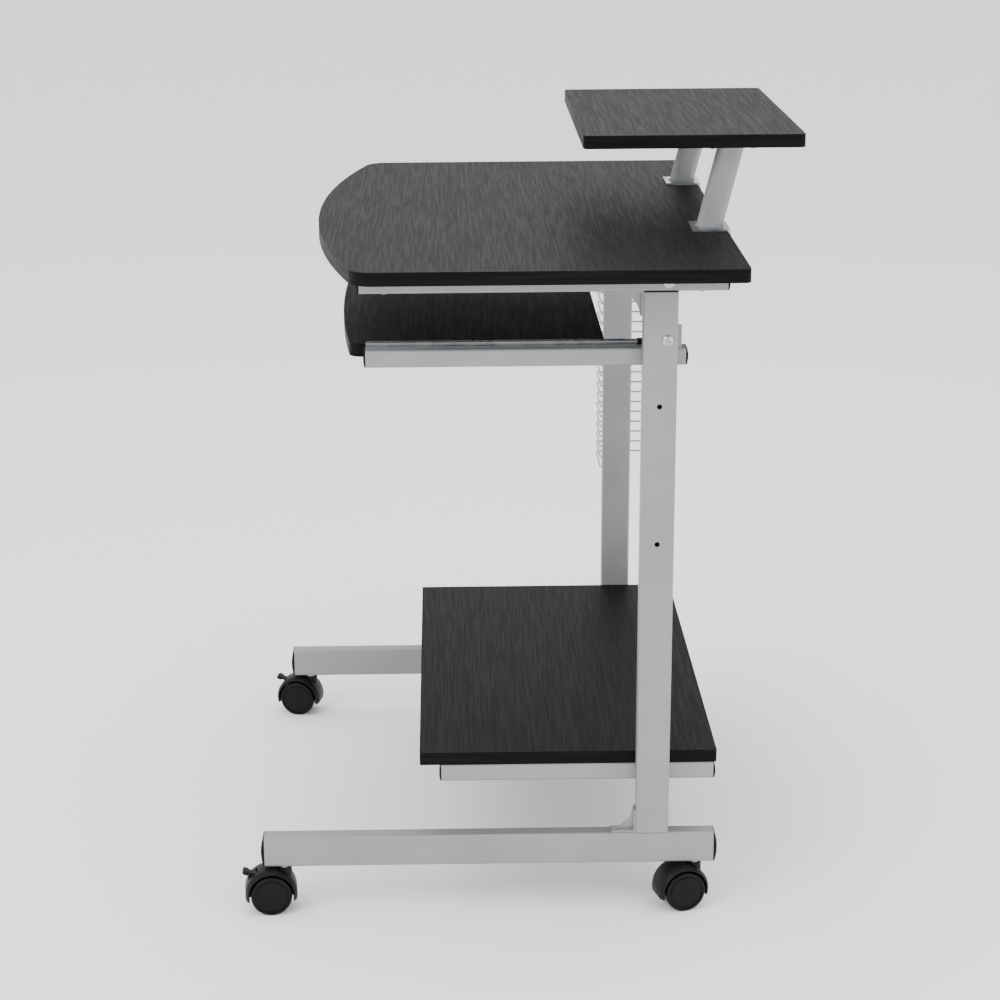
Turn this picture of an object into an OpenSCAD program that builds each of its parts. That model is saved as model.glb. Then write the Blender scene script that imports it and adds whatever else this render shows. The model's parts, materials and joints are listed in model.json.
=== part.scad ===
// Rolling computer desk. A bowed worktop carries a raised shelf on two leaning legs.
// A keyboard tray runs on ball slides under it, and a lower shelf hangs between the posts.
// A wire disc rack is screwed to the left post, and the steel tube frame rolls on four casters.
// Millimetres, +Z up. The user sits at -Y, and +X is the user's right.
// Origin: floor level, in the middle of the footprint.

/* [Worktop] */
// Width of the worktop
desk_w = 732; // [620:1:900]
// Depth of the worktop, from its back edge to the middle of its bowed front
desk_d = 473; // [400:1:580]
// Height of the worktop's upper face above the floor
desk_h = 771; // [650:1:930]
// Thickness of every board
board_t = 15; // [12:0.5:22]
// Thickness of the edge band glued round every board
band_t = 0.8; // [0.4:0.1:2]
// How far the middle of the worktop's front edge bows out
front_bow = 52; // [20:1:70]
// Radius of the worktop's front corners
front_corner_r = 26; // [12:1:40]
// Radius of the small corners of the boards
small_corner_r = 7; // [4:0.5:12]
// How far the worktop reaches behind the middle of the posts
desk_behind_post = 90; // [75:1:110]

/* [Raised shelf] */
// Width of the raised shelf
riser_w = 407; // [340:1:490]
// Depth of the raised shelf
riser_d = 250; // [200:1:300]
// Clear height between the worktop and the raised shelf
riser_gap = 98; // [80:1:120]
// How far the raised shelf overhangs the worktop's back edge
riser_overhang = 83; // [60:1:100]
// Sideways place of the raised shelf from the worktop's middle
riser_shift = -31; // [-60:1:60]
// Distance between the two legs of the raised shelf
leg_spacing = 315; // [260:1:330]
// Angle by which the legs lean back
leg_lean = 13.8; // [0:0.1:18]
// Long side of the flat oval leg tube
leg_long = 30; // [24:1:36]
// Short side of the flat oval leg tube
leg_short = 15; // [12:1:20]
// Thickness of the leg brackets and top plates
plate_t = 2.5; // [2:0.1:4]

/* [Lower shelf] */
// Depth of the lower shelf
shelf_d = 345; // [280:1:400]
// Height of the lower shelf's upper face above the floor
shelf_h = 189; // [150:1:230]
// Gap between the lower shelf and each post
shelf_gap = 2; // [1:0.5:5]

/* [Keyboard tray] */
// Depth of the keyboard tray, to the middle of its bowed front
tray_d = 298; // [250:1:340]
// How far the middle of the tray's front edge bows out
tray_bow = 15; // [5:1:30]
// Radius of the tray's front corners
tray_corner_r = 14; // [8:1:24]
// Clear height between the worktop and the tray's upper face
tray_drop = 87; // [70:1:110]
// How far the closed tray stays behind the worktop's front edge
tray_inset = 28; // [10:1:50]
// Thickness of one slide, between the tray and its rail
slide_t = 13; // [12.5:0.1:15]
// Height of a slide
slide_h = 27; // [25:0.5:35]
// Length of a slide
slide_len = 300; // [250:1:340]
// How far the tray pulls out
tray_travel = 200; // [150:1:210]

/* [Frame] */
// Overhang of the worktop beyond the outer face of each post
side_overhang = 55; // [40:1:80]
// Wide side of the post and foot tubes
tube_wide = 38; // [32:1:46]
// Narrow side of the post and foot tubes, and both sides of the rails
tube_t = 20; // [18:1:24]
// Wall of every steel tube
wall = 1.2; // [1:0.1:2]
// Outer corner radius of the steel tubes
tube_r = 3; // [2.5:0.1:4]
// Middle of the posts, behind the origin
post_y = 154; // [120:1:180]
// Length of a foot
foot_len = 523; // [440:1:620]
// How far feet and rails reach behind the middle of the posts
foot_behind_post = 72; // [50:1:100]
// Length of the rails under the lower shelf
shelf_rail_len = 316; // [260:1:340]
// How far the tray rails reach behind the middle of the posts
tray_rail_behind_post = 30; // [24:1:50]
// Length of each leg of a gusset
gusset = 28; // [22:1:34]
// Diameter of the frame bolts
bolt_d = 5.8; // [5:0.1:6]
// Diameter of the holes in the frame, spare ones included
hole_d = 6; // [6:0.1:8]
// Distance between the two accessory holes in each post
hole_pitch = 159; // [120:1:190]
// Distance from the top of a post down to its upper accessory hole
hole_drop = 128; // [110:1:150]

/* [Disc rack] */
// Number of wire shelves in the rack
rack_count = 18; // [6:1:22]
// Distance from one wire shelf to the next
rack_pitch = 14.4; // [13:0.1:16]
// Thickness of the rack's wire
wire_d = 2.6; // [2:0.1:3.5]
// How far the rack reaches out from its mounting strip
rack_reach = 82; // [60:1:100]
// Length of a wire shelf, front to back
rack_len = 108; // [90:1:120]

/* [Casters] */
// Diameter of the wheels
wheel_d = 48; // [40:1:60]
// Width of one wheel
wheel_w = 16; // [13:0.5:20]
// Distance from the swivel's axis to the axle
trail = 16; // [14:0.5:20]
// Diameter of the axle
axle_d = 6; // [5:0.1:7]
// Distance from the end of a foot to a caster's swivel axis
caster_inset = 22; // [18:1:40]

/* [Hidden] */
$fn = 48;

// Clearances
turn_gap = 0.05;    // round a shaft that turns, on the radius
fixed_gap = 0.05;   // round a screw or plug that stays put, on the radius
ball_gap = 0.1;     // between a ball and its race

// Colours
c_board = "#35363a";
c_band = "#2a2b2e";
c_steel = "#a9abae";
c_zinc = "#c9cccf";
c_plastic = "#17181a";

// Boards
desk_under = desk_h - board_t;
desk_back = post_y + desk_behind_post;
desk_front = desk_back - desk_d;
riser_under = desk_h + riser_gap;
riser_back = desk_back + riser_overhang;
frame_w = desk_w - 2 * side_overhang;
shelf_w = frame_w - 2 * tube_t - 2 * shelf_gap;
shelf_back = post_y + foot_behind_post + 4;
shelf_under = shelf_h - board_t;
tray_w = frame_w - 4 * tube_t - 2 * slide_t;
tray_top = desk_under - tray_drop;
tray_front = desk_front + tray_inset;

// Frame. x_out and x_in are the faces of the right post, and rails lie at x_in or over the post.
x_out = frame_w / 2;
x_in = x_out - tube_t;
x_mid = x_out - tube_t / 2;
fender_r = wheel_d / 2 + 6.5;
caster_h = wheel_d / 2 + fender_r + 2.5;
foot_top = caster_h + tube_wide;
foot_back = post_y + foot_behind_post;
foot_front = foot_back - foot_len;
plug_lip = 1;
post_top = desk_under - tube_t - plug_lip;
desk_rail_front = desk_front + front_bow + 4;
desk_rail_len = foot_back - desk_rail_front;
tray_rail_front = tray_front + 33;
tray_rail_back = post_y + tray_rail_behind_post;
tray_rail_len = tray_rail_back - tray_rail_front;
tray_rail_mid = tray_top - tube_t / 2;
upper_hole = post_top - hole_drop;
lower_hole = upper_hole - hole_pitch;
bolt_behind_post = 8;
lug_t = 4;
lug_h = 25;
lug_d = 34;
lug_bolt_z = tray_top + 12.5;
cross_bar_y = post_y + bolt_behind_post;
cross_block = 14;
gusset_t = 2;
gusset_flange = 14;

// Screws
screw_d = 4;
screw_head_d = 8;
screw_inset = 27;
screw_bite = 10;

// Raised shelf legs
bracket_w = 51;
bracket_d = 43;
bracket_flange = 14;
top_plate_d = 60;
leg_z0 = desk_h + plate_t;
leg_z1 = riser_under - plate_t;
leg_y0 = desk_back - bracket_d / 2 + 3;
leg_y1 = leg_y0 + (leg_z1 - leg_z0) * tan(leg_lean);
leg_x = [riser_shift - leg_spacing / 2, riser_shift + leg_spacing / 2];
bracket_screw_x = 18;
plate_screw_x = 19;
plate_screw_y = 23;

// Slides. Heights are from the slide's middle, and s runs from the rail to the tray.
race_t = 1.2;
outer_reach = 10;
inner_start = 3.5;
ball_d = 3.2;
inner_half = slide_h / 2 - race_t - ball_d - 2 * ball_gap;
ball_s = 6.6;
ball_z = slide_h / 2 - race_t - ball_gap - ball_d / 2;
ball_pitch = 15;
ball_rows = 6;
cage_len = (ball_rows - 1) * ball_pitch + 12;
cage_start = tray_rail_front + tray_travel / 2 + 2;
cage_t = 0.8;
slide_screw_d = 3.6;
slide_screw_y = [30, 130, 240];
// Low heads, because the ball cage passes in front of them
low_head_rise = 0.11;
tray_screw_y = [45, 210];
front_cap_t = 3;

// Disc rack, on the outer face of the left post
strip_w = 16;
strip_t = 2;
rack_drop = 8.5;
rack_top = upper_hole - rack_drop;
rack_screw_head = 10;
strip_x = -x_out - strip_t;
wire_x = strip_x - wire_d / 2;
wire_out_x = wire_x - rack_reach + wire_d;
wire_bend = 6;
rack_front = post_y - tube_wide / 2 - 3;
wire_front = rack_front + wire_d / 2;
tie_d = 4;

// Casters. Local frame: swivel axis on Z, axle ahead of it at -Y.
web_half = 3.2;
wheel_in = web_half + 0.8;
hood_half = wheel_in + wheel_w - 2;
wheel_gap = 2.5;
shell_r = fender_r + 2.5;
boss_d = 18;
space_r = wheel_d / 2 + wheel_gap;
axle_z = wheel_d / 2;
axle_end = wheel_in + wheel_w - 2.2;
hood_top = caster_h - 2;
hood_open = axle_z - 7;
stem_d = 8;
stem_depth = 6;
stem_up = 16;
collar_d = 15;
nut_af = 13;
nut_h = 6.5;
lever_angle = 50;
lever_r = fender_r - 2;
lever_slot = 12;
lever_w = lever_slot - 0.6;
lever_pin_d = 2.4;
barrel_d = 6;
paddle_len = 15;
paddle_root = 7.5;
paddle_rise = 18;
footprint_side = max(desk_w / 2, -wire_out_x + tie_d / 2);
centre_x = (footprint_side - desk_w / 2) / 2;

// Each caster: side (-1 left, 1 right), distance along Y, angle it has swivelled to
front_y = foot_front + caster_inset;
rear_y = foot_back - caster_inset;
FL = [-1, front_y, -12];
FR = [1, front_y, 5];
RL = [-1, rear_y, 5];
RR = [1, rear_y, 16];

// ---- helpers ----

// Puts the middle of the footprint at the origin
module placed() translate([centre_x, 0, 0]) children();

// Children are drawn for the right side, and mirrored for the left
module on_side(side) {
    if (side > 0) children();
    else mirror([1, 0, 0]) children();
}

module rounded_rect(w, d, r) {
    square([w - 2 * r, d], center = true);
    square([w, d - 2 * r], center = true);
    for (x = [-1, 1], y = [-1, 1])
        translate([x * (w / 2 - r), y * (d / 2 - r)]) circle(r);
}

module tube_profile(w, d) {
    difference() {
        rounded_rect(w, d, tube_r);
        rounded_rect(w - 2 * wall, d - 2 * wall, tube_r - wall);
    }
}

// Tube along Y, its middle at x and z, from y0
module tube_y(x, z, w, h, y0, len) {
    translate([x, y0, z])
        rotate([-90, 0, 0]) linear_extrude(len) tube_profile(w, h);
}

function bow_radius(w, bow) = (w * w / 4 + bow * bow) / (2 * bow);

// Board outline with its back edge on y = 0 and its bowed front at y = -d
module bowed_outline(w, d, r_bow, r_corner, r_back) {
    arc_y = r_bow - d;
    fx = w / 2 - r_corner;
    fy = arc_y - sqrt(pow(r_bow - r_corner, 2) - fx * fx);
    past = (r_bow + 5) / (r_bow - r_corner);
    tx = fx * past;
    ty = arc_y + (fy - arc_y) * past;
    difference() {
        intersection() {
            translate([-w / 2, -d]) square([w, d]);
            translate([0, arc_y]) circle(r_bow, $fn = 720);
        }
        for (s = [-1, 1]) {
            polygon([[s * fx, fy], [s * (w / 2 + 5), fy], [s * (w / 2 + 5), ty], [s * tx, ty]]);
            translate([s * w / 2, 0]) square(2 * r_back, center = true);
        }
    }
    for (s = [-1, 1]) {
        translate([s * fx, fy]) circle(r_corner, $fn = 96);
        translate([s * (w / 2 - r_back), -r_back]) circle(r_back);
    }
}

module bowed_board(w, d, bow, r_corner, inset) {
    translate([0, -inset])
        bowed_outline(w - 2 * inset, d - 2 * inset, bow_radius(w, bow) - inset,
            r_corner - inset, small_corner_r - inset);
}

// Screw along +Z: the shank starts at 0, and the head is below it
module pan_screw(d, len, head_d, rise = 0.32) {
    head_h = head_d * rise;
    dome = max(head_d * 0.75, head_d * head_d / (8 * head_h) + head_h / 2 + 0.5);
    difference() {
        union() {
            cylinder(d = d, h = len, $fn = 24);
            translate([0, 0, -head_h])
                intersection() {
                    cylinder(d = head_d, h = head_h, $fn = 32);
                    translate([0, 0, dome]) sphere(dome, $fn = 64);
                }
        }
        for (a = [0, 90])
            rotate(a) translate([0, 0, -head_h])
                cube([head_d * 0.52, head_d * 0.12, head_h], center = true);
    }
}

// Domed end cap for a tube along +Y: lip outside, plug inside
module end_cap(w, h, lip) {
    dome_r = h * h / (8 * (lip - 1)) + 1;
    plug_w = w - 2 * wall - 2 * fixed_gap;
    plug_h = h - 2 * wall - 2 * fixed_gap;
    rotate([-90, 0, 0]) difference() {
        union() {
            intersection() {
                linear_extrude(lip) rounded_rect(w, h, tube_r);
                translate([-w, 0, lip - dome_r]) rotate([0, 90, 0])
                    cylinder(r = dome_r, h = 2 * w, $fn = 180);
            }
            translate([0, 0, -12]) linear_extrude(12) rounded_rect(plug_w, plug_h, tube_r - wall);
        }
        translate([0, 0, -13]) linear_extrude(12.5) rounded_rect(plug_w - 4, plug_h - 4, 0.6);
    }
}

// ---- boards ----

module desk_holes() {
    for (x = [-x_mid, x_mid], y = [desk_rail_front + screw_inset, foot_back - screw_inset])
        translate([x, y, desk_under - 1])
            cylinder(d = screw_d + 2 * fixed_gap, h = screw_bite + 1.5, $fn = 24);
    for (x = leg_x, s = [-1, 1])
        translate([x + s * bracket_screw_x, desk_back + 1, desk_h - board_t / 2])
            rotate([90, 0, 0]) cylinder(d = screw_d + 2 * fixed_gap, h = 15.5, $fn = 24);
}

module desktop() {
    color(c_board) placed() difference() {
        translate([0, desk_back, desk_under]) linear_extrude(board_t)
            bowed_board(desk_w, desk_d, front_bow, front_corner_r, band_t);
        desk_holes();
    }
}

module desktop_band() {
    color(c_band) placed() difference() {
        translate([0, desk_back, desk_under]) linear_extrude(board_t) difference() {
            bowed_board(desk_w, desk_d, front_bow, front_corner_r, 0);
            bowed_board(desk_w, desk_d, front_bow, front_corner_r, band_t);
        }
        desk_holes();
    }
}

module plain_board(w, d, inset, r) {
    rounded_rect(w - 2 * inset, d - 2 * inset, r - inset);
}

module riser_shelf() {
    color(c_board) placed() difference() {
        translate([riser_shift, riser_back - riser_d / 2, riser_under]) linear_extrude(board_t)
            plain_board(riser_w, riser_d, band_t, small_corner_r);
        plate_screw_places(riser_under - 1)
            cylinder(d = screw_d + 2 * fixed_gap, h = screw_bite + 1.5, $fn = 24);
    }
}

module riser_band() {
    color(c_band) placed()
        translate([riser_shift, riser_back - riser_d / 2, riser_under]) linear_extrude(board_t) difference() {
            plain_board(riser_w, riser_d, 0, small_corner_r);
            plain_board(riser_w, riser_d, band_t, small_corner_r);
        }
}

module shelf_screw_places(z) {
    for (x = [-1, 1], y = [foot_back - shelf_rail_len + screw_inset, foot_back - screw_inset])
        translate([x * (x_in - tube_t / 2), y, z]) children();
}

module lower_shelf() {
    color(c_board) placed() difference() {
        translate([0, shelf_back - shelf_d / 2, shelf_under]) linear_extrude(board_t)
            plain_board(shelf_w, shelf_d, band_t, 2.5);
        shelf_screw_places(shelf_under - 1)
            cylinder(d = screw_d + 2 * fixed_gap, h = screw_bite + 1.5, $fn = 24);
    }
}

module lower_shelf_band() {
    color(c_band) placed()
        translate([0, shelf_back - shelf_d / 2, shelf_under]) linear_extrude(board_t) difference() {
            plain_board(shelf_w, shelf_d, 0, 2.5);
            plain_board(shelf_w, shelf_d, band_t, 2.5);
        }
}

module tray_screw_holes() {
    for (s = [-1, 1]) on_side(s)
        for (y = tray_screw_y)
            translate([tray_w / 2 + 1, tray_rail_front + y, tray_rail_mid])
                rotate([0, -90, 0]) cylinder(d = slide_screw_d + 2 * fixed_gap, h = 13, $fn = 24);
}

module keyboard_tray() {
    color(c_board) placed() difference() {
        translate([0, tray_front + tray_d, tray_top - board_t]) linear_extrude(board_t)
            bowed_board(tray_w, tray_d, tray_bow, tray_corner_r, band_t);
        tray_screw_holes();
    }
}

module tray_band() {
    color(c_band) placed() difference() {
        translate([0, tray_front + tray_d, tray_top - board_t]) linear_extrude(board_t) difference() {
            bowed_board(tray_w, tray_d, tray_bow, tray_corner_r, 0);
            bowed_board(tray_w, tray_d, tray_bow, tray_corner_r, band_t);
        }
        tray_screw_holes();
    }
}

// ---- steel frame ----

// Foot with its caster holes, and a weld nut over each
module foot(side) {
    color(c_steel) placed() on_side(side) {
        difference() {
            tube_y(x_mid, caster_h + tube_wide / 2, tube_t, tube_wide, foot_front, foot_len);
            for (y = [front_y, rear_y])
                translate([x_mid, y, caster_h - 1]) cylinder(d = stem_d + 2 * fixed_gap, h = 4);
        }
        for (y = [front_y, rear_y])
            translate([x_mid, y, caster_h + wall])
                difference() {
                    cylinder(d = nut_af / cos(30), h = nut_h, $fn = 6);
                    translate([0, 0, -1]) cylinder(d = stem_d + 2 * fixed_gap, h = nut_h + 2);
                }
    }
}

module cross_hole(x, y, z, len) {
    translate([x, y, z]) rotate([0, 90, 0]) cylinder(d = hole_d, h = len, $fn = 32);
}

module post(side) {
    color(c_steel) placed() on_side(side) difference() {
        translate([x_mid, post_y, foot_top])
            linear_extrude(post_top - foot_top) tube_profile(tube_t, tube_wide);
        for (z = [upper_hole, lower_hole]) cross_hole(x_out - wall - 1, post_y, z, wall + 2);
        cross_hole(x_in - 1, post_y + bolt_behind_post, lug_bolt_z, tube_t + 2);
    }
}

module desk_rail(side) {
    color(c_steel) placed() on_side(side) difference() {
        tube_y(x_mid, desk_under - tube_t / 2, tube_t, tube_t, desk_rail_front, desk_rail_len);
        for (y = [desk_rail_front + screw_inset, foot_back - screw_inset])
            translate([x_mid, y, desk_under - tube_t - 1])
                cylinder(d = screw_d + 2 * fixed_gap, h = tube_t + 2, $fn = 24);
        cross_hole(x_in - 1, cross_bar_y, desk_under - tube_t / 2, tube_t + 2);
    }
}

// Rail along the inner face of the post, which the slide is screwed to
module tray_rail(side) {
    color(c_steel) placed() on_side(side) difference() {
        tube_y(x_in - tube_t / 2, tray_rail_mid, tube_t, tube_t, tray_rail_front, tray_rail_len);
        for (y = slide_screw_y)
            translate([x_in - tube_t - 1, tray_rail_front + y, tray_rail_mid])
                rotate([0, 90, 0]) cylinder(d = slide_screw_d + 2 * fixed_gap, h = 4, $fn = 24);
    }
}

module shelf_rail(side) {
    color(c_steel) placed() on_side(side) difference() {
        tube_y(x_in - tube_t / 2, shelf_under - tube_t / 2, tube_t, tube_t,
            foot_back - shelf_rail_len, shelf_rail_len);
        for (y = [foot_back - shelf_rail_len + screw_inset, foot_back - screw_inset])
            translate([x_in - tube_t / 2, y, shelf_under - tube_t - 1])
                cylinder(d = screw_d + 2 * fixed_gap, h = tube_t + 2, $fn = 24);
    }
}

// Bar between the desk rails, with a solid threaded block in each end
module cross_bar() {
    color(c_steel) placed() translate([0, cross_bar_y, desk_under - tube_t / 2]) {
        rotate([0, 90, 0]) translate([0, 0, -x_in]) linear_extrude(2 * x_in) tube_profile(tube_t, tube_t);
        for (s = [-1, 1]) on_side(s)
            difference() {
                translate([x_in - cross_block, -tube_t / 2 + wall, -tube_t / 2 + wall])
                    cube([cross_block, tube_t - 2 * wall, tube_t - 2 * wall]);
                translate([x_in - cross_block - 1, 0, 0]) rotate([0, 90, 0])
                    cylinder(d = hole_d, h = cross_block + 2, $fn = 32);
                for (y = [-1, 1], z = [-1, 1])
                    translate([x_in - cross_block - 1, y * (tube_t / 2 - wall), z * (tube_t / 2 - wall)])
                        rotate([45, 0, 0]) cube([2 * cross_block + 4, 2, 2], center = true);
            }
    }
}

module post_top_plugs() {
    plug_w = tube_t - 2 * wall - 2 * fixed_gap;
    plug_d = tube_wide - 2 * wall - 2 * fixed_gap;
    color(c_plastic) placed() for (s = [-1, 1]) on_side(s)
        translate([x_mid, post_y, post_top]) {
            linear_extrude(plug_lip) rounded_rect(tube_t, tube_wide, tube_r);
            translate([0, 0, -12]) linear_extrude(12) difference() {
                rounded_rect(plug_w, plug_d, tube_r - wall);
                rounded_rect(plug_w - 4, plug_d - 4, 0.6);
            }
        }
}

module foot_caps() {
    color(c_plastic) placed() for (s = [-1, 1]) on_side(s) {
        translate([x_mid, foot_back, caster_h + tube_wide / 2]) end_cap(tube_t, tube_wide, 4);
        translate([x_mid, foot_front, caster_h + tube_wide / 2])
            mirror([0, 1, 0]) end_cap(tube_t, tube_wide, 4);
    }
}

module cap_pair(x, z, y0, y1) {
    translate([x, y1, z]) end_cap(tube_t, tube_t, 2.6);
    translate([x, y0, z]) mirror([0, 1, 0]) end_cap(tube_t, tube_t, 2.6);
}

module rail_caps() {
    color(c_plastic) placed() for (s = [-1, 1]) on_side(s) {
        cap_pair(x_mid, desk_under - tube_t / 2, desk_rail_front, foot_back);
        cap_pair(x_in - tube_t / 2, tray_rail_mid, tray_rail_front, tray_rail_back);
        cap_pair(x_in - tube_t / 2, shelf_under - tube_t / 2, foot_back - shelf_rail_len, foot_back);
    }
}

// Pressed steel gusset for the corner at the origin, legs along -Y and +Z
module gusset_plate() {
    sweep = gusset - gusset_t - 1.5;
    translate([-gusset_t / 2, 0, 0]) rotate([90, 0, 90]) linear_extrude(gusset_t) difference() {
        translate([-gusset, 0]) square(gusset);
        translate([-gusset, gusset]) circle(sweep, $fn = 96);
    }
    translate([-gusset_flange / 2, -gusset, 0]) cube([gusset_flange, gusset, gusset_t]);
    translate([-gusset_flange / 2, -gusset_t, 0]) cube([gusset_flange, gusset_t, gusset]);
}

// Welded plates: a gusset in each corner, and a lug on each tray rail for its post bolt
module frame_plates() {
    color(c_steel) placed() for (s = [-1, 1]) on_side(s) {
        translate([x_mid, post_y - tube_wide / 2, 0]) {
            translate([0, 0, foot_top]) gusset_plate();
            translate([0, 0, desk_under - tube_t]) mirror([0, 0, 1]) gusset_plate();
        }
        difference() {
            translate([x_in - lug_t, cross_bar_y - lug_d / 2, tray_top]) cube([lug_t, lug_d, lug_h]);
            cross_hole(x_in - lug_t - 1, cross_bar_y, lug_bolt_z, lug_t + 2);
        }
    }
}

// ---- raised shelf support ----

module leg_section(grow) {
    long = leg_long + 2 * grow;
    short = leg_short + 2 * grow;
    square([short, long - short], center = true);
    for (s = [-1, 1]) translate([0, s * (long - short) / 2]) circle(d = short);
}

module riser_leg(i) {
    tall = 2 * (leg_z1 - leg_z0);
    color(c_steel) placed() intersection() {
        translate([leg_x[i], leg_y0, leg_z0]) rotate([-leg_lean, 0, 0])
            translate([0, 0, -tall / 4]) linear_extrude(tall)
                difference() {
                    leg_section(0);
                    leg_section(-wall);
                }
        translate([leg_x[i] - 40, leg_y0 - 60, leg_z0]) cube([80, 200, leg_z1 - leg_z0]);
    }
}

// Welded foot plate of each leg, folded down over the worktop's back edge
module riser_brackets() {
    color(c_zinc) placed() for (x = leg_x) difference() {
        union() {
            translate([x - bracket_w / 2, desk_back - bracket_d + plate_t, desk_h])
                cube([bracket_w, bracket_d, plate_t]);
            translate([x - bracket_w / 2, desk_back, desk_h - bracket_flange])
                cube([bracket_w, plate_t, bracket_flange]);
        }
        for (s = [-1, 1])
            translate([x + s * bracket_screw_x, desk_back - 1, desk_h - board_t / 2])
                rotate([-90, 0, 0]) cylinder(d = screw_d + 2 * fixed_gap, h = plate_t + 2, $fn = 24);
    }
}

module plate_screw_places(z) {
    for (x = leg_x, sx = [-1, 1], sy = [-1, 1])
        translate([x + sx * plate_screw_x, leg_y1 + sy * plate_screw_y, z]) children();
}

module riser_top_plates() {
    color(c_zinc) placed() difference() {
        for (x = leg_x)
            translate([x, leg_y1, leg_z1]) linear_extrude(plate_t) rounded_rect(bracket_w, top_plate_d, 4);
        plate_screw_places(leg_z1 - 1) cylinder(d = screw_d + 2 * fixed_gap, h = plate_t + 2, $fn = 24);
    }
}

// ---- screws ----

module board_screws() {
    through = tube_t + screw_bite;
    color(c_zinc) placed() {
        for (x = [-x_mid, x_mid], y = [desk_rail_front + screw_inset, foot_back - screw_inset])
            translate([x, y, desk_under - tube_t]) pan_screw(screw_d, through, screw_head_d);
        shelf_screw_places(shelf_under - tube_t) pan_screw(screw_d, through, screw_head_d);
        plate_screw_places(leg_z1) pan_screw(screw_d, plate_t + screw_bite, screw_head_d);
        for (x = leg_x, s = [-1, 1])
            translate([x + s * bracket_screw_x, desk_back + plate_t, desk_h - board_t / 2])
                rotate([90, 0, 0]) pan_screw(screw_d, plate_t + 12, screw_head_d);
    }
}

// Bolts through the posts into the tray rails, through the desk rails into the cross bar,
// and through the rack's strip into the left post
module frame_bolts() {
    color(c_zinc) placed() {
        for (s = [-1, 1]) on_side(s) {
            translate([x_out, cross_bar_y, lug_bolt_z])
                rotate([0, -90, 0]) pan_screw(bolt_d, tube_t + lug_t + 2, 12);
            translate([x_out, cross_bar_y, desk_under - tube_t / 2])
                rotate([0, -90, 0]) pan_screw(bolt_d, tube_t + cross_block - 2, 12);
        }
        for (z = [upper_hole, lower_hole])
            translate([strip_x, post_y, z]) rotate([0, 90, 0]) pan_screw(bolt_d, 12, rack_screw_head);
    }
}

module slide_screws() {
    color(c_zinc) placed() for (s = [-1, 1]) on_side(s)
        for (y = slide_screw_y)
            translate([x_in - tube_t - race_t, tray_rail_front + y, tray_rail_mid])
                rotate([0, 90, 0]) pan_screw(slide_screw_d, 8, 5.4, low_head_rise);
}

module tray_screws() {
    color(c_zinc) placed() for (s = [-1, 1]) on_side(s)
        for (y = tray_screw_y)
            translate([tray_w / 2 + race_t, tray_rail_front + y, tray_rail_mid])
                rotate([0, -90, 0]) pan_screw(slide_screw_d, 12, 5.4);
}

// ---- slides ----

// Channel along Y open towards +s: web at s = 0, flanges reaching to s = reach
module channel(half, reach, len) {
    rotate([90, 0, 0]) translate([0, 0, -len]) linear_extrude(len) difference() {
        translate([0, -half]) square([reach, 2 * half]);
        translate([race_t, -half + race_t]) square([reach, 2 * (half - race_t)]);
    }
}

module slide_outer(side) {
    color(c_zinc) placed() on_side(side) difference() {
        translate([x_in - tube_t, tray_rail_front, tray_rail_mid])
            mirror([1, 0, 0]) channel(slide_h / 2, outer_reach, slide_len);
        for (y = slide_screw_y)
            translate([x_in - tube_t - race_t - 1, tray_rail_front + y, tray_rail_mid])
                rotate([0, 90, 0]) cylinder(d = slide_screw_d + 2 * fixed_gap, h = race_t + 2, $fn = 24);
    }
}

module slide_inner(side) {
    color(c_zinc) placed() on_side(side) difference() {
        translate([tray_w / 2, tray_rail_front, tray_rail_mid])
            channel(inner_half, slide_t - inner_start, slide_len);
        for (y = tray_screw_y)
            translate([tray_w / 2 - 1, tray_rail_front + y, tray_rail_mid])
                rotate([0, 90, 0]) cylinder(d = slide_screw_d + 2 * fixed_gap, h = race_t + 2, $fn = 24);
    }
}

// Strip that spaces the balls, one row above and one below the inner channel
module ball_cage(side) {
    web_s = race_t + 0.9;
    color(c_zinc) placed() on_side(side)
        translate([x_in - tube_t, cage_start, tray_rail_mid]) mirror([1, 0, 0]) {
            translate([web_s, 0, -ball_z - cage_t / 2]) cube([cage_t, cage_len, 2 * ball_z + cage_t]);
            for (z = [-ball_z, ball_z]) {
                translate([web_s, 0, z - cage_t / 2]) cube([outer_reach - web_s, cage_len, cage_t]);
                for (i = [0 : ball_rows - 1])
                    translate([ball_s, 6 + i * ball_pitch, z]) sphere(d = ball_d, $fn = 24);
            }
        }
}

module slide_rear_stops() {
    color(c_plastic) placed() for (s = [-1, 1]) on_side(s)
        translate([x_in - tube_t - outer_reach - 1, tray_rail_front + slide_len + 0.2,
            tray_rail_mid - slide_h / 2 - 0.6])
            cube([outer_reach + 1, 6, slide_h + 1.2]);
}

module slide_front_caps() {
    color(c_plastic) placed() for (s = [-1, 1]) on_side(s)
        translate([tray_w / 2, tray_rail_front - front_cap_t, tray_rail_mid - inner_half])
            cube([slide_t - inner_start, front_cap_t, 2 * inner_half]);
}

// ---- disc rack ----

module wire_y(x, z, y0, y1) {
    translate([x, y0, z]) rotate([-90, 0, 0]) cylinder(d = wire_d, h = y1 - y0, $fn = 16);
}

module wire_elbow(x, y, z, turn) {
    translate([x, y, z]) rotate(turn)
        rotate_extrude(angle = 90, $fn = 32) translate([wire_bend, 0]) circle(d = wire_d, $fn = 16);
}

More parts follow.
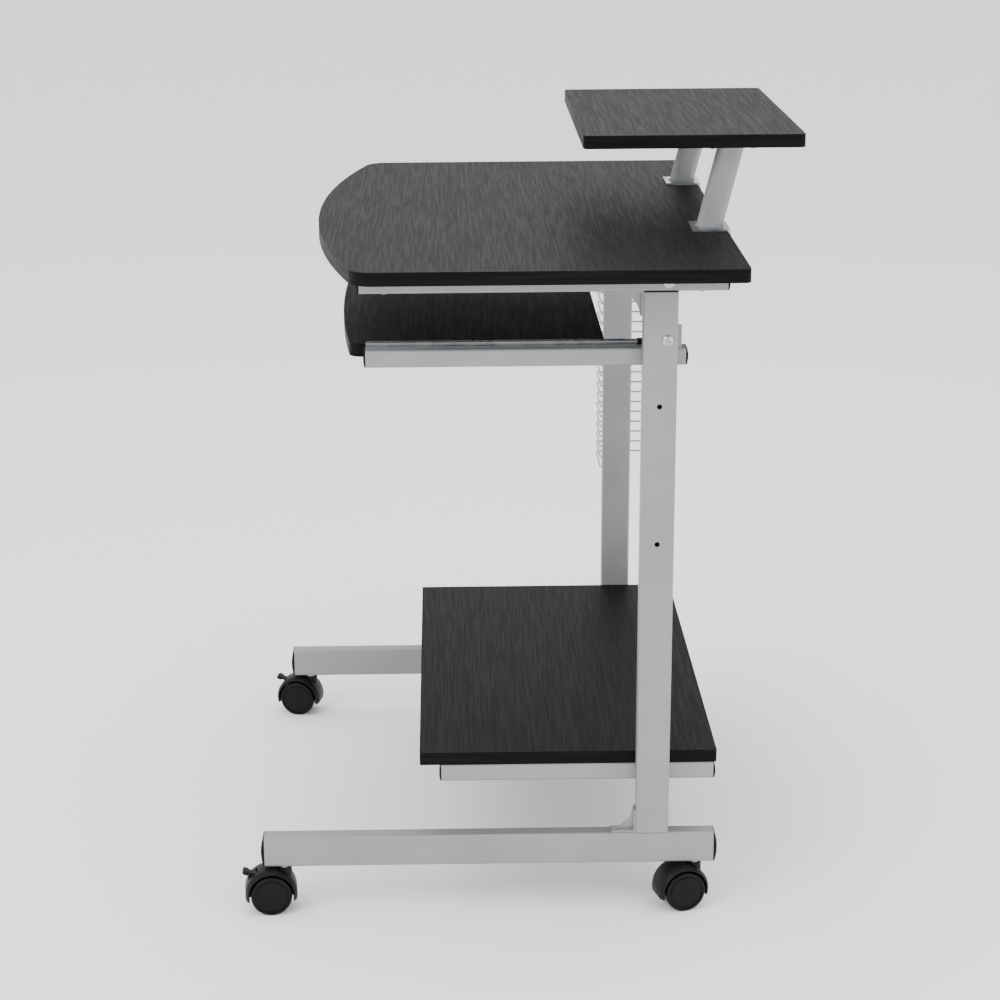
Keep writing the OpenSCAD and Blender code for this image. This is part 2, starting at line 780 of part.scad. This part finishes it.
module rack_wires() {
    run = wire_x - wire_out_x - 2 * wire_bend;
    color(c_zinc) placed() for (i = [0 : rack_count - 1]) {
        z = rack_top - i * rack_pitch;
        wire_y(wire_x, z, wire_front + wire_bend, post_y + strip_w / 2 - 1);
        wire_elbow(wire_x - wire_bend, wire_front + wire_bend, z, -90);
        translate([wire_out_x + wire_bend, wire_front, z])
            rotate([0, 90, 0]) cylinder(d = wire_d, h = run, $fn = 16);
        wire_elbow(wire_out_x + wire_bend, wire_front + wire_bend, z, 180);
        wire_y(wire_out_x, z, wire_front + wire_bend, rack_front + rack_len);
    }
}

module rack_frame() {
    low = rack_top - (rack_count - 1) * rack_pitch;
    color(c_zinc) placed() {
        difference() {
            translate([strip_x, post_y - strip_w / 2, low - 10])
                cube([strip_t, strip_w, upper_hole + 8 - low + 10]);
            for (z = [upper_hole, lower_hole])
                translate([strip_x - 1, post_y, z]) rotate([0, 90, 0])
                    cylinder(d = hole_d, h = strip_t + 2, $fn = 32);
        }
        translate([wire_out_x, rack_front + rack_len + tie_d / 2, low - 4])
            cylinder(d = tie_d, h = rack_top - low + 8, $fn = 24);
    }
}

// ---- casters ----

// Places a caster part: swivel axis under the foot, turned to its own angle
module caster(c) {
    placed() translate([c[0] * x_mid, c[1], 0]) rotate(c[2]) children();
}

module caster_stems() {
    color(c_zinc) for (c = [FL, FR, RL, RR]) caster(c) {
        translate([0, 0, hood_top - stem_depth]) cylinder(d = stem_d, h = stem_depth + 2 + stem_up);
        translate([0, 0, hood_top + 0.2]) cylinder(d = collar_d, h = caster_h - hood_top - 0.2, $fn = 32);
    }
}

// Half section of the hood, turned about the axle: web, wheel spaces and axle hole in one
module hood_profile() {
    bore_r = axle_d / 2 + fixed_gap;
    difference() {
        intersection() {
            translate([bore_r, -hood_half]) square([fender_r - bore_r, 2 * hood_half]);
            circle(shell_r, $fn = 120);
        }
        for (m = [0, 1]) mirror([0, m])
            translate([0, web_half]) square([space_r, hood_half]);
    }
}

// Rounded hood over both wheels, open below, with a boss for the stem
module hood_shell() {
    difference() {
        translate([0, 0, axle_z]) rotate([0, 90, 0]) rotate_extrude($fn = 120) hood_profile();
        translate([-2 * fender_r, -2 * fender_r, -2 * fender_r])
            cube([4 * fender_r, 4 * fender_r, 2 * fender_r + hood_open]);
    }
    difference() {
        translate([0, trail, axle_z + 12]) cylinder(d = boss_d, h = hood_top - axle_z - 12);
        translate([-hood_half, 0, axle_z]) rotate([0, 90, 0])
            cylinder(r = space_r + 1, h = 2 * hood_half, $fn = 120);
    }
}

module hood(c, braked) {
    color(c_plastic) caster(c) translate([0, -trail, 0]) difference() {
        hood_shell();
        translate([0, trail, hood_top - stem_depth - 0.3])
            cylinder(d = stem_d + 2 * turn_gap, h = stem_depth + 2);
        if (braked) lever_place() {
            translate([-lever_slot / 2, -9, -7]) cube([lever_slot, 12.5, 11.5]);
            translate([-hood_half + 4, 0, 0]) rotate([0, 90, 0])
                cylinder(d = lever_pin_d + 2 * fixed_gap, h = 2 * hood_half - 8, $fn = 24);
        }
    }
}

// Middle of the brake lever's pin, from a point on the floor under the axle
module lever_place() {
    translate([0, -lever_r * cos(lever_angle), axle_z + lever_r * sin(lever_angle)]) children();
}

module pins(c, braked) {
    color(c_zinc) caster(c) translate([0, -trail, 0]) {
        translate([-axle_end, 0, axle_z]) rotate([0, 90, 0]) cylinder(d = axle_d, h = 2 * axle_end);
        if (braked) lever_place() translate([-hood_half + 5, 0, 0])
            rotate([0, 90, 0]) cylinder(d = lever_pin_d, h = 2 * hood_half - 10, $fn = 24);
    }
}

module wheel_profile() {
    r = wheel_d / 2;
    edge = 2.4;
    difference() {
        union() {
            square([r - edge, wheel_w]);
            translate([0, edge]) square([r, wheel_w - 2 * edge]);
            for (z = [edge, wheel_w - edge]) translate([r - edge, z]) circle(edge, $fn = 32);
        }
        translate([r - 5.2, wheel_w - 1]) square([1.2, 2]);
        translate([-1, -1]) square([axle_d / 2 + turn_gap + 1, wheel_w - 1.5 + 1]);
        translate([axle_d / 2 + 3, -1]) square([r - 9 - axle_d / 2, 7]);
    }
}

// side 1 is the wheel on the outer side of the desk, -1 the one on the inner side
module wheel(c, side) {
    color(c_plastic) caster(c) translate([0, -trail, axle_z]) on_side(side * c[0])
        translate([wheel_in, 0, 0]) rotate([0, 90, 0]) rotate_extrude($fn = 96) wheel_profile();
}

// Brake lever: barrel on its pin, thumb paddle outwards
module brake_lever(c) {
    color(c_plastic) caster(c) translate([0, -trail, 0]) lever_place() difference() {
        union() {
            translate([-lever_w / 2, 0, 0]) rotate([0, 90, 0]) cylinder(d = barrel_d, h = lever_w);
            rotate([-paddle_rise, 0, 0]) {
                translate([1 - lever_w / 2, -paddle_root - 1, -1.5]) cube([lever_w - 2, paddle_root + 1, 3]);
                translate([0, -paddle_len, -2]) linear_extrude(4)
                    translate([0, (paddle_len - paddle_root) / 2])
                        rounded_rect(lever_w + 2, paddle_len - paddle_root, 3);
            }
        }
        translate([-lever_w, 0, 0]) rotate([0, 90, 0])
            cylinder(d = lever_pin_d + 2 * turn_gap, h = 2 * lever_w, $fn = 24);
    }
}

desktop();
desktop_band();
riser_shelf();
riser_band();
lower_shelf();
lower_shelf_band();
keyboard_tray();
tray_band();
foot(-1);  // foot_left
foot(1);  // foot_right
post(-1);  // post_left
post(1);  // post_right
desk_rail(-1);  // desk_rail_left
desk_rail(1);  // desk_rail_right
tray_rail(-1);  // tray_rail_left
tray_rail(1);  // tray_rail_right
shelf_rail(-1);  // shelf_rail_left
shelf_rail(1);  // shelf_rail_right
cross_bar();
post_top_plugs();
foot_caps();
rail_caps();
frame_plates();
riser_leg(0);  // riser_leg_left
riser_leg(1);  // riser_leg_right
riser_brackets();
riser_top_plates();
board_screws();
frame_bolts();
slide_screws();
tray_screws();
slide_outer(-1);  // slide_outer_left
slide_outer(1);  // slide_outer_right
slide_inner(-1);  // slide_inner_left
slide_inner(1);  // slide_inner_right
ball_cage(-1);  // ball_cage_left
ball_cage(1);  // ball_cage_right
slide_rear_stops();
slide_front_caps();
rack_frame();
rack_wires();
caster_stems();
hood(FL, true);  // hood_fl
hood(FR, true);  // hood_fr
hood(RL, false);  // hood_rl
hood(RR, false);  // hood_rr
pins(FL, true);  // pins_fl
pins(FR, true);  // pins_fr
pins(RL, false);  // pins_rl
pins(RR, false);  // pins_rr
wheel(FL, -1);  // wheel_fl_in
wheel(FL, 1);  // wheel_fl_out
wheel(FR, -1);  // wheel_fr_in
wheel(FR, 1);  // wheel_fr_out
wheel(RL, -1);  // wheel_rl_in
wheel(RL, 1);  // wheel_rl_out
wheel(RR, -1);  // wheel_rr_in
wheel(RR, 1);  // wheel_rr_out
brake_lever(FL);  // brake_lever_left
brake_lever(FR);  // brake_lever_right
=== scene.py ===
# %% [markdown]
# # A rolling computer desk
# The desk is black laminated board on a silver-grey powder-coated tube frame.
# Its shape comes from an exact CAD model, so this lesson is about finish: how each surface
# was really made, and what that makes it look like. We load the model as a fixed frame first.

# %% Load the frame
import bpy
import bmesh
import json
import math
from mathutils import Matrix, Vector

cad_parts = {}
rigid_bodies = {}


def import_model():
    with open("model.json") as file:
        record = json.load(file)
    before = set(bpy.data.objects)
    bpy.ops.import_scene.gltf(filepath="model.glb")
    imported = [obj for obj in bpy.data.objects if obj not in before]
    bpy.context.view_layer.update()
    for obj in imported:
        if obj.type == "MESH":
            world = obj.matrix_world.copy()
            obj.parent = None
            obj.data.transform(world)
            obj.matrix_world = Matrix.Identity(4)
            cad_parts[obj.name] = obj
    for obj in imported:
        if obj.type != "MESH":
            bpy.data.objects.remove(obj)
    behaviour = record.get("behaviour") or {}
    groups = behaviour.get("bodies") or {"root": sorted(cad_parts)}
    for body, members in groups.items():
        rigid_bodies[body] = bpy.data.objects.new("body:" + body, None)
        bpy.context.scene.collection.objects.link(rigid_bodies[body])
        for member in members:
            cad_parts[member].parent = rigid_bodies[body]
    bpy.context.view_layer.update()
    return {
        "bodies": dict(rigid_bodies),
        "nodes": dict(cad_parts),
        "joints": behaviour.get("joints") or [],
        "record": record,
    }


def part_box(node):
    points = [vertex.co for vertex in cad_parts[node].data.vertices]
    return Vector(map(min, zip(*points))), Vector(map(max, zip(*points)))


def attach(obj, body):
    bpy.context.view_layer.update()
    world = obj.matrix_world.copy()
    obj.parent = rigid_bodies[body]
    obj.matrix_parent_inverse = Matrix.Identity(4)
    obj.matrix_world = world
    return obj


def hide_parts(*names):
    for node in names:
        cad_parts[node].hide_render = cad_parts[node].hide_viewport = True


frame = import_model()
MM = 0.001
scene = bpy.context.scene

# %% [markdown]
# ## Colours and nodes
# Colours are written as sRGB hex values, the way paint is matched by eye, and one function
# turns them into the linear values a shader works in. One more function adds a node.

# %% Two helpers
def linear(hex_code):
    channels = [int(hex_code[i:i + 2], 16) / 255 for i in (1, 3, 5)]
    return [c / 12.92 if c <= 0.04045 else ((c + 0.055) / 1.055) ** 2.4 for c in channels] + [1.0]


def add_node(tree, kind, settings=None, links=None):
    node = tree.nodes.new(kind)
    for name, value in (settings or {}).items():
        if name in node.inputs:
            node.inputs[name].default_value = value
        else:
            setattr(node, name, value)
    for name, source in (links or {}).items():
        tree.links.new(source, node.inputs[name])
    return node


def start_material(name, **sockets):
    material = bpy.data.materials.new(name)
    material.use_nodes = True
    shader = material.node_tree.nodes["Principled BSDF"]
    for socket, value in sockets.items():
        shader.inputs[socket.replace("_", " ")].default_value = value
    return material, material.node_tree, shader


print("mid grey #808080 is", round(linear("#808080")[0], 3), "in linear light")

# %% [markdown]
# ## Patterns
# Most surfaces here are one stretched noise: long and thin for wood grain, round and fine for
# orange peel. `stretched_noise` takes the real size of a feature in millimetres on each axis.
# `ramp` turns it into a colour or a roughness, and `bumped` into height.

# %% Pattern helpers
def stretched_noise(tree, size_mm, detail=3.0, roughness=0.55):
    place = add_node(tree, "ShaderNodeTexCoord")
    scale = [1000 / s for s in size_mm]
    sized = add_node(tree, "ShaderNodeMapping", {"Scale": scale}, {"Vector": place.outputs["Object"]})
    noise = add_node(tree, "ShaderNodeTexNoise",
                     {"Scale": 1.0, "Detail": detail, "Roughness": roughness},
                     {"Vector": sized.outputs["Vector"]})
    return noise.outputs["Fac"]


def ramp(tree, source, stops):
    node = add_node(tree, "ShaderNodeValToRGB", links={"Fac": source})
    bands = node.color_ramp.elements
    while len(bands) < len(stops):
        bands.new(0.5)
    for band, (at, colour) in zip(bands, stops):
        band.position = at
        band.color = colour
    return node.outputs["Color"]


def grey(value):
    return [value, value, value, 1.0]


def bumped(tree, shader, source, height_mm, strength=1.0):
    bump = add_node(tree, "ShaderNodeBump", {"Strength": strength, "Distance": height_mm * MM},
                    {"Height": source})
    tree.links.new(bump.outputs["Normal"], shader.inputs["Normal"])


print("pattern helpers ready")

# %% [markdown]
# ## Black woodgrain laminate
# The boards are particle board under a printed melamine sheet, pressed against an embossed
# plate. So the grain is both printed and felt: long dark pores, and a semi-gloss skin whose
# pores are duller. Real pores are 0.3 mm wide; here they are 2 to 3 mm so that they show.

# %% Laminate for tops and for edges
def woodgrain(name, grain_mm, pore_mm, light, dark, painted_glint):
    material, tree, shader = start_material(name, IOR=1.45, Specular_IOR_Level=0.09)
    grain = stretched_noise(tree, grain_mm, 5.0, 0.62)
    pores = stretched_noise(tree, pore_mm, 2.0, 0.5)
    # The top stop of this ramp is a painted glint: the grain is lightened as if its semi-gloss skin caught
    # the light. The dark and light stops are the grain's own tone.
    grain_and_painted_glint = ramp(tree, grain, [(0.34, linear(dark)), (0.52, linear(light)), (0.7, linear(painted_glint))])
    streak = ramp(tree, pores, [(0.42, grey(0.35)), (0.56, grey(1.0))])
    colour = add_node(tree, "ShaderNodeMix", {"data_type": "RGBA", "blend_type": "MULTIPLY"})
    colour.inputs["Factor"].default_value = 0.3
    tree.links.new(grain_and_painted_glint, colour.inputs[6])
    tree.links.new(streak, colour.inputs[7])
    tree.links.new(colour.outputs[2], shader.inputs["Base Color"])
    tree.links.new(ramp(tree, pores, [(0.4, grey(0.56)), (0.62, grey(0.48))]), shader.inputs["Roughness"])
    bumped(tree, shader, pores, 0.03, 0.12)
    return material


# The last colour given to each laminate is its painted glint, not a printed tone.
laminate = woodgrain("black_woodgrain_laminate", (140, 4.5, 30), (70, 2.2, 30),
                     "#0b0b0d", "#08080a", "#0e0e10")
edge_laminate = woodgrain("black_woodgrain_edge_band", (140, 140, 3.5), (60, 60, 1.8),
                          "#0b0b0d", "#060607", "#141416")
print("laminates:", laminate.name, edge_laminate.name)

# %% [markdown]
# ## Powder-coated steel tube
# Silver-grey powder is sprayed on dry and baked, which leaves a faint orange peel about a
# millimetre across and a soft sheen from the aluminium flake in it.

# %% Powder coat
def powder_coat():
    material, tree, shader = start_material("silver_grey_powder_coat", Metallic=0.35, IOR=1.5)
    peel = stretched_noise(tree, (1.2, 1.2, 1.2), 2.0)
    cloud = stretched_noise(tree, (90, 90, 90), 2.0)
    tree.links.new(ramp(tree, cloud, [(0.3, linear("#888a8c")), (0.7, linear("#909294"))]),
                   shader.inputs["Base Color"])
    tree.links.new(ramp(tree, peel, [(0.3, grey(0.4)), (0.7, grey(0.48))]), shader.inputs["Roughness"])
    bumped(tree, shader, peel, 0.03, 0.35)
    return material


tube_coat = powder_coat()
print("tubes:", tube_coat.name)

# %% [markdown]
# ## Bright zinc plate
# Slides, screws, brackets and the rack's wire are plated with zinc. It is a mirror dulled by
# fine crystals, so the roughness wanders a little and the colour hardly at all.

# %% Zinc
def zinc_plate():
    material, tree, shader = start_material("bright_zinc_plate", Metallic=1.0)
    crystals = stretched_noise(tree, (25, 25, 25), 2.0)
    tree.links.new(ramp(tree, crystals, [(0.3, linear("#a2a5a8")), (0.7, linear("#b4b7b9"))]),
                   shader.inputs["Base Color"])
    tree.links.new(ramp(tree, crystals, [(0.3, grey(0.22)), (0.7, grey(0.36))]), shader.inputs["Roughness"])
    return material


zinc = zinc_plate()
print("plated parts:", zinc.name)

# %% [markdown]
# ## Moulded black plastic
# Caps and caster hoods are moulded in a spark-eroded tool, whose fine grain leaves them satin.
# The nylon wheels come from a polished tool and shine more.

# %% Plastics
def moulded(name, colour, lighter, low, high, grain_mm, height_mm):
    material, tree, shader = start_material(name, IOR=1.5, Specular_IOR_Level=0.16)
    grain = stretched_noise(tree, (grain_mm,) * 3, 2.0)
    tree.links.new(ramp(tree, grain, [(0.3, linear(colour)), (0.7, linear(lighter))]),
                   shader.inputs["Base Color"])
    tree.links.new(ramp(tree, grain, [(0.3, grey(low)), (0.7, grey(high))]), shader.inputs["Roughness"])
    bumped(tree, shader, grain, height_mm, 0.4)
    return material


satin_plastic = moulded("satin_black_polypropylene", "#08090a", "#0e0f10", 0.4, 0.52, 1.5, 0.04)
wheel_nylon = moulded("black_nylon_wheel", "#050506", "#080809", 0.36, 0.44, 2.5, 0.01)
print("plastics:", satin_plastic.name, wheel_nylon.name)

# %% [markdown]
# ## Dressing the CAD nodes
# The record says which finish each node has. A material goes in the node's own slots, and
# nothing about its shape is touched.

# %% Assign by slot
FINISHES = {"board": laminate, "edge_banding": edge_laminate, "tube": tube_coat,
            "zinc": zinc, "plastic": satin_plastic, "wheel": wheel_nylon}
slot_of = {part["node"]: part["material_slot"] for part in frame["record"]["subparts"]}
for name, node in frame["nodes"].items():
    finish = FINISHES[slot_of[name]]
    if not node.material_slots:
        node.data.materials.append(finish)
    for slot in node.material_slots:
        slot.material = finish
print({slot: sum(1 for s in slot_of.values() if s == slot) for slot in FINISHES})

# %% [markdown]
# ## Smooth skins for the rounded parts
# CAD hands over loose triangles, which shade as facets. For rounded parts we copy the node,
# join its triangles, and mark only the real corners sharp. The copy stands for the node.

# %% Make skins
def skin(name, corner_deg=32, soften_mm=0.0):
    node = frame["nodes"][name]
    body = next(b for b, empty in frame["bodies"].items() if node.parent == empty)
    mesh = node.data.copy()
    mesh.name = name + "_skin"
    shape = bmesh.new()
    shape.from_mesh(mesh)
    bmesh.ops.remove_doubles(shape, verts=shape.verts, dist=2e-6)
    bmesh.ops.dissolve_limit(shape, angle_limit=math.radians(0.4), verts=shape.verts, edges=shape.edges)
    for face in shape.faces:
        face.smooth = True
    for edge in shape.edges:
        edge.smooth = len(edge.link_faces) == 2 and edge.calc_face_angle(0.0) < math.radians(corner_deg)
    shape.to_mesh(mesh)
    shape.free()
    piece = bpy.data.objects.new(name + "_skin", mesh)
    scene.collection.objects.link(piece)
    if mesh.has_custom_normals:
        with bpy.context.temp_override(object=piece, active_object=piece, selected_objects=[piece]):
            bpy.ops.mesh.customdata_custom_splitnormals_clear()
    if soften_mm:
        edge_round = piece.modifiers.new("soft_edges", "BEVEL")
        edge_round.width = soften_mm * MM
        edge_round.segments = 2
        edge_round.limit_method = "ANGLE"
        edge_round.angle_limit = math.radians(50)
        edge_round.harden_normals = True
    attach(piece, body)
    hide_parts(name)
    return piece


rounded = [n for n in frame["nodes"] if n.startswith(("hood", "wheel", "riser_leg", "brake", "pins"))]
rounded += ["slide_rear_stops", "slide_front_caps", "foot_caps", "rail_caps",
            "board_screws", "frame_bolts", "caster_stems", "rack_frame"]
for name in rounded:
    skin(name)
print("rounded skins:", len(rounded))

# %% [markdown]
# ## Softened board edges
# A glued edge band is scraped flush and its arris broken by a third of a millimetre. That
# small bevel catches the light as a thin pale line along the top of every board.

# %% Boards and their bands
boards = [n for n, slot in slot_of.items() if slot in ("board", "edge_banding")]
for name in boards:
    skin(name, soften_mm=0.35)
print("softened boards and bands:", len(boards))

# %% [markdown]
# ## The disc rack's wires
# Each wire shelf is one bent wire: along the post, round a corner, across, and back. They
# repeat at one pitch, which is what Geometry Nodes are for. The tree fillets a path, sweeps a
# circle along it and copies it downwards. Its sizes are named inputs. Every tree in this lesson
# starts and ends in the same way, so those two steps are functions.

# %% How each tree starts and ends
def start_tree(name, sizes):
    tree = bpy.data.node_groups.new(name, "GeometryNodeTree")
    face = tree.interface
    face.new_socket("Geometry", in_out="INPUT", socket_type="NodeSocketGeometry")
    for size, kind in sizes.items():
        face.new_socket(size, in_out="INPUT", socket_type="NodeSocket" + kind)
    face.new_socket("Material", in_out="INPUT", socket_type="NodeSocketMaterial")
    face.new_socket("Geometry", in_out="OUTPUT", socket_type="NodeSocketGeometry")
    return tree, add_node(tree, "NodeGroupInput").outputs


def finish_tree(tree, given, copies):
    solid = add_node(tree, "GeometryNodeRealizeInstances",
                     links={"Geometry": copies.outputs["Instances"]})
    coated = add_node(tree, "GeometryNodeSetMaterial",
                      links={"Geometry": solid.outputs["Geometry"], "Material": given["Material"]})
    add_node(tree, "NodeGroupOutput", links={"Geometry": coated.outputs["Geometry"]})
    return tree


print("tree helpers ready")


# %% A tree that bends and repeats a wire
def wire_tree():
    tree, given = start_tree("bent_wire_shelves", {"Wire Radius": "Float", "Bend Radius": "Float",
                                                   "Pitch": "Float", "Count": "Int"})
    path = add_node(tree, "GeometryNodeMeshToCurve", links={"Mesh": given["Geometry"]})
    bent = add_node(tree, "GeometryNodeFilletCurve", {"mode": "POLY", "Count": 8},
                    {"Curve": path.outputs["Curve"], "Radius": given["Bend Radius"]})
    ring = add_node(tree, "GeometryNodeCurvePrimitiveCircle", {"Resolution": 12},
                    {"Radius": given["Wire Radius"]})
    wire = add_node(tree, "GeometryNodeCurveToMesh", {"Fill Caps": True},
                    {"Curve": bent.outputs["Curve"], "Profile Curve": ring.outputs["Curve"]})
    step = add_node(tree, "ShaderNodeCombineXYZ", links={"Z": given["Pitch"]})
    line = add_node(tree, "GeometryNodeMeshLine",
                    links={"Count": given["Count"], "Offset": step.outputs["Vector"]})
    copies = add_node(tree, "GeometryNodeInstanceOnPoints",
                      links={"Points": line.outputs["Mesh"], "Instance": wire.outputs["Mesh"]})
    return finish_tree(tree, given, copies)


def grow(name, points, edges, tree, values):
    """Runs a tree on a small mesh and returns its result as a plain mesh object."""
    seed_mesh = bpy.data.meshes.new(name + "_path")
    seed_mesh.from_pydata(points, edges, [])
    seed = bpy.data.objects.new(name + "_path", seed_mesh)
    scene.collection.objects.link(seed)
    maker = seed.modifiers.new("maker", "NODES")
    maker.node_group = tree
    for item in tree.interface.items_tree:
        if item.in_out == "INPUT" and item.name in values:
            maker[item.identifier] = values[item.name]
    seen = seed.evaluated_get(bpy.context.evaluated_depsgraph_get())
    mesh = bpy.data.meshes.new_from_object(seen)
    mesh.name = name
    bpy.data.objects.remove(seed)
    piece = bpy.data.objects.new(name, mesh)
    scene.collection.objects.link(piece)
    return piece


# %% Make the wires
low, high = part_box("rack_wires")
post_low, post_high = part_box("post_left")
WIRE_R = 1.3 * MM
WIRE_BEND = 6 * MM
WIRE_PAST_POST_MIDDLE = 7 * MM
SHELVES = 18
pitch = (high.z - low.z - 2 * WIRE_R) / (SHELVES - 1)
near_x, far_x = high.x - WIRE_R, low.x + WIRE_R
front_y = low.y + WIRE_R
top_z = high.z - WIRE_R
strip_back = (post_low.y + post_high.y) / 2 + WIRE_PAST_POST_MIDDLE
path = [(near_x, strip_back, top_z), (near_x, front_y, top_z),
        (far_x, front_y, top_z), (far_x, high.y, top_z)]
wires = grow("rack_wire_shelves", path, [(0, 1), (1, 2), (2, 3)], wire_tree(),
             {"Wire Radius": WIRE_R, "Bend Radius": WIRE_BEND, "Pitch": -pitch,
              "Count": SHELVES, "Material": zinc})
for face in wires.data.polygons:
    face.use_smooth = True
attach(wires, "frame")
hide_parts("rack_wires")
print("wire pitch mm:", round(pitch / MM, 2), "faces:", len(wires.data.polygons))

# %% [markdown]
# ## Weld beads
# Each leg of the raised shelf is welded to its foot plate all round. A weld is a row of small
# overlapping puddles, so the tree sets round beads along the joint at an even spacing.

# %% A tree that lays beads along a path
def bead_tree():
    tree, given = start_tree("weld_beads", {"Bead Radius": "Float", "Spacing": "Float"})
    path = add_node(tree, "GeometryNodeMeshToCurve", links={"Mesh": given["Geometry"]})
    even = add_node(tree, "GeometryNodeCurveToPoints", {"mode": "LENGTH"},
                    {"Curve": path.outputs["Curve"], "Length": given["Spacing"]})
    bead = add_node(tree, "GeometryNodeMeshIcoSphere", {"Subdivisions": 2},
                    {"Radius": given["Bead Radius"]})
    laid = add_node(tree, "GeometryNodeInstanceOnPoints",
                    links={"Points": even.outputs["Points"], "Instance": bead.outputs["Mesh"]})
    return finish_tree(tree, given, laid)


# %% Weld both legs
RING_STEPS = 40


def leg_foot_outline(node):
    """The ring of the leg's own outer edge where it meets its plate."""
    mesh = frame["nodes"][node].data
    floor = min(v.co.z for v in mesh.vertices)
    foot = [v.co.copy() for v in mesh.vertices if v.co.z < floor + 0.02 * MM]
    centre = sum(foot, Vector()) / len(foot)
    ring = []
    for step in range(RING_STEPS):
        angle = step * math.tau / RING_STEPS
        way = Vector((math.cos(angle), math.sin(angle), 0))
        ring.append(max(foot, key=lambda point: (point - centre).dot(way)))
    outline = [p for i, p in enumerate(ring) if (p - ring[i - 1]).length > 0.05 * MM]
    return outline, floor


beads = bead_tree()
for node in ("riser_leg_left", "riser_leg_right"):
    outline, floor = leg_foot_outline(node)
    edges = [(i, (i + 1) % len(outline)) for i in range(len(outline))]
    weld = grow(node + "_weld", outline, edges, beads,
                {"Bead Radius": 1.3 * MM, "Spacing": 1.5 * MM, "Material": tube_coat})
    for face in weld.data.polygons:
        face.use_smooth = True
    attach(weld, "frame")
    print(node, "weld faces:", len(weld.data.polygons))

# %% [markdown]
# ## Grip ribs on the brake paddles
# A thumb needs something to push against, so the mould has a few low ribs across each paddle.
# They repeat at one spacing: the tree places a thin bar at each step.

# %% A tree that repeats a bar
def rib_tree():
    tree, given = start_tree("grip_ribs", {"Bar Size": "Vector", "Turn": "Vector"})
    bar = add_node(tree, "GeometryNodeMeshCube", links={"Size": given["Bar Size"]})
    turned = add_node(tree, "FunctionNodeEulerToRotation", links={"Euler": given["Turn"]})
    laid = add_node(tree, "GeometryNodeInstanceOnPoints",
                    links={"Points": given["Geometry"], "Instance": bar.outputs["Mesh"],
                           "Rotation": turned.outputs["Rotation"]})
    return finish_tree(tree, given, laid)


# %% Rib both paddles
joint_of = {joint["name"]: joint for joint in frame["joints"]}
PADDLE_RISE = math.radians(18)
RIBS_FROM_PIN = (9.2, 10.6, 12.0, 13.4)
PADDLE_SKIN = 2.0
ribs = rib_tree()
for side in ("left", "right"):
    joint = joint_of[f"brake_{side}_press"]
    pin, across = Vector(joint["pos_m"]), Vector(joint["axis"]).normalized()
    forward = Vector((0, 0, -1)).cross(across).normalized()
    if forward.y > 0:
        forward = -forward
    along = forward * math.cos(PADDLE_RISE) + Vector((0, 0, 1)) * math.sin(PADDLE_RISE)
    above = -forward * math.sin(PADDLE_RISE) + Vector((0, 0, 1)) * math.cos(PADDLE_RISE)
    points = [pin + along * d * MM + above * PADDLE_SKIN * MM for d in RIBS_FROM_PIN]
    turn = Matrix((along.cross(above), along, above)).transposed().to_euler()
    bars = grow(f"paddle_ribs_{side}", points, [], ribs,
                {"Bar Size": (9 * MM, 0.6 * MM, 0.7 * MM), "Turn": tuple(turn), "Material": satin_plastic})
    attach(bars, f"brake_{side}")
    print(side, "ribs:", len(points))

# %% [markdown]
# ## Floor and light
# A pale sheet under the desk and three large soft lights, as in a small studio.

# %% Studio
def sheet(name, size, colour):
    mesh = bpy.data.meshes.new(name)
    h = size / 2
    mesh.from_pydata([(-h, -h, 0), (h, -h, 0), (h, h, 0), (-h, h, 0)], [], [(0, 1, 2, 3)])
    piece = bpy.data.objects.new(name, mesh)
    scene.collection.objects.link(piece)
    material, tree, shader = start_material("pale_paper_backdrop", Roughness=0.9)
    shader.inputs["Base Color"].default_value = linear(colour)
    mesh.materials.append(material)
    return piece


def soft_light(name, place, aim, size, power):
    lamp = bpy.data.lights.new(name, "AREA")
    lamp.size = size
    lamp.energy = power
    holder = bpy.data.objects.new(name, lamp)
    holder.location = place
    holder.rotation_euler = (Vector(aim) - Vector(place)).to_track_quat("-Z", "Y").to_euler()
    scene.collection.objects.link(holder)


sheet("floor", 60, "#ffffff")
soft_light("key", (2.2, -2.4, 2.8), (0, 0, 0.5), 2.2, 70)
soft_light("fill", (2.4, 2.4, 1.8), (0, 0, 0.5), 2.4, 30)
soft_light("top", (-0.3, 0.2, 3.2), (0, 0, 0.5), 2.5, 45)
world = bpy.data.worlds.new("studio")
world.use_nodes = True
world.node_tree.nodes["Background"].inputs["Color"].default_value = linear("#ffffff")
world.node_tree.nodes["Background"].inputs["Strength"].default_value = 1.5
scene.world = world
print("lights:", len(bpy.data.lights))

# %% [markdown]
# ## Camera
# The desk is seen from its right side, a little above the worktop, with a longish lens.

# %% Camera
def place_camera(place_mm, yaw, pitch, roll, lens, shift):
    yaw, pitch, roll = (math.radians(a) for a in (yaw, pitch, roll))
    ahead = Vector((-math.cos(pitch) * math.cos(yaw), math.cos(pitch) * math.sin(yaw), math.sin(pitch)))
    right = ahead.cross(Vector((0, 0, 1))).normalized()
    up = right.cross(ahead)
    side = math.cos(roll) * right + math.sin(roll) * up
    head = -math.sin(roll) * right + math.cos(roll) * up
    data = bpy.data.cameras.new("camera")
    data.sensor_width = 36
    data.lens = lens
    data.shift_x = shift
    holder = bpy.data.objects.new("camera", data)
    turn = Matrix((side, head, -ahead)).transposed().to_4x4()
    holder.matrix_world = Matrix.Translation(Vector(place_mm) * MM) @ turn
    scene.collection.objects.link(holder)
    scene.camera = holder


place_camera((2772.15, -82.8, 1266.0), 0.66, -17.33, -0.43, 83.2, 0.03)
print("camera at", [round(v, 3) for v in scene.camera.matrix_world.translation])
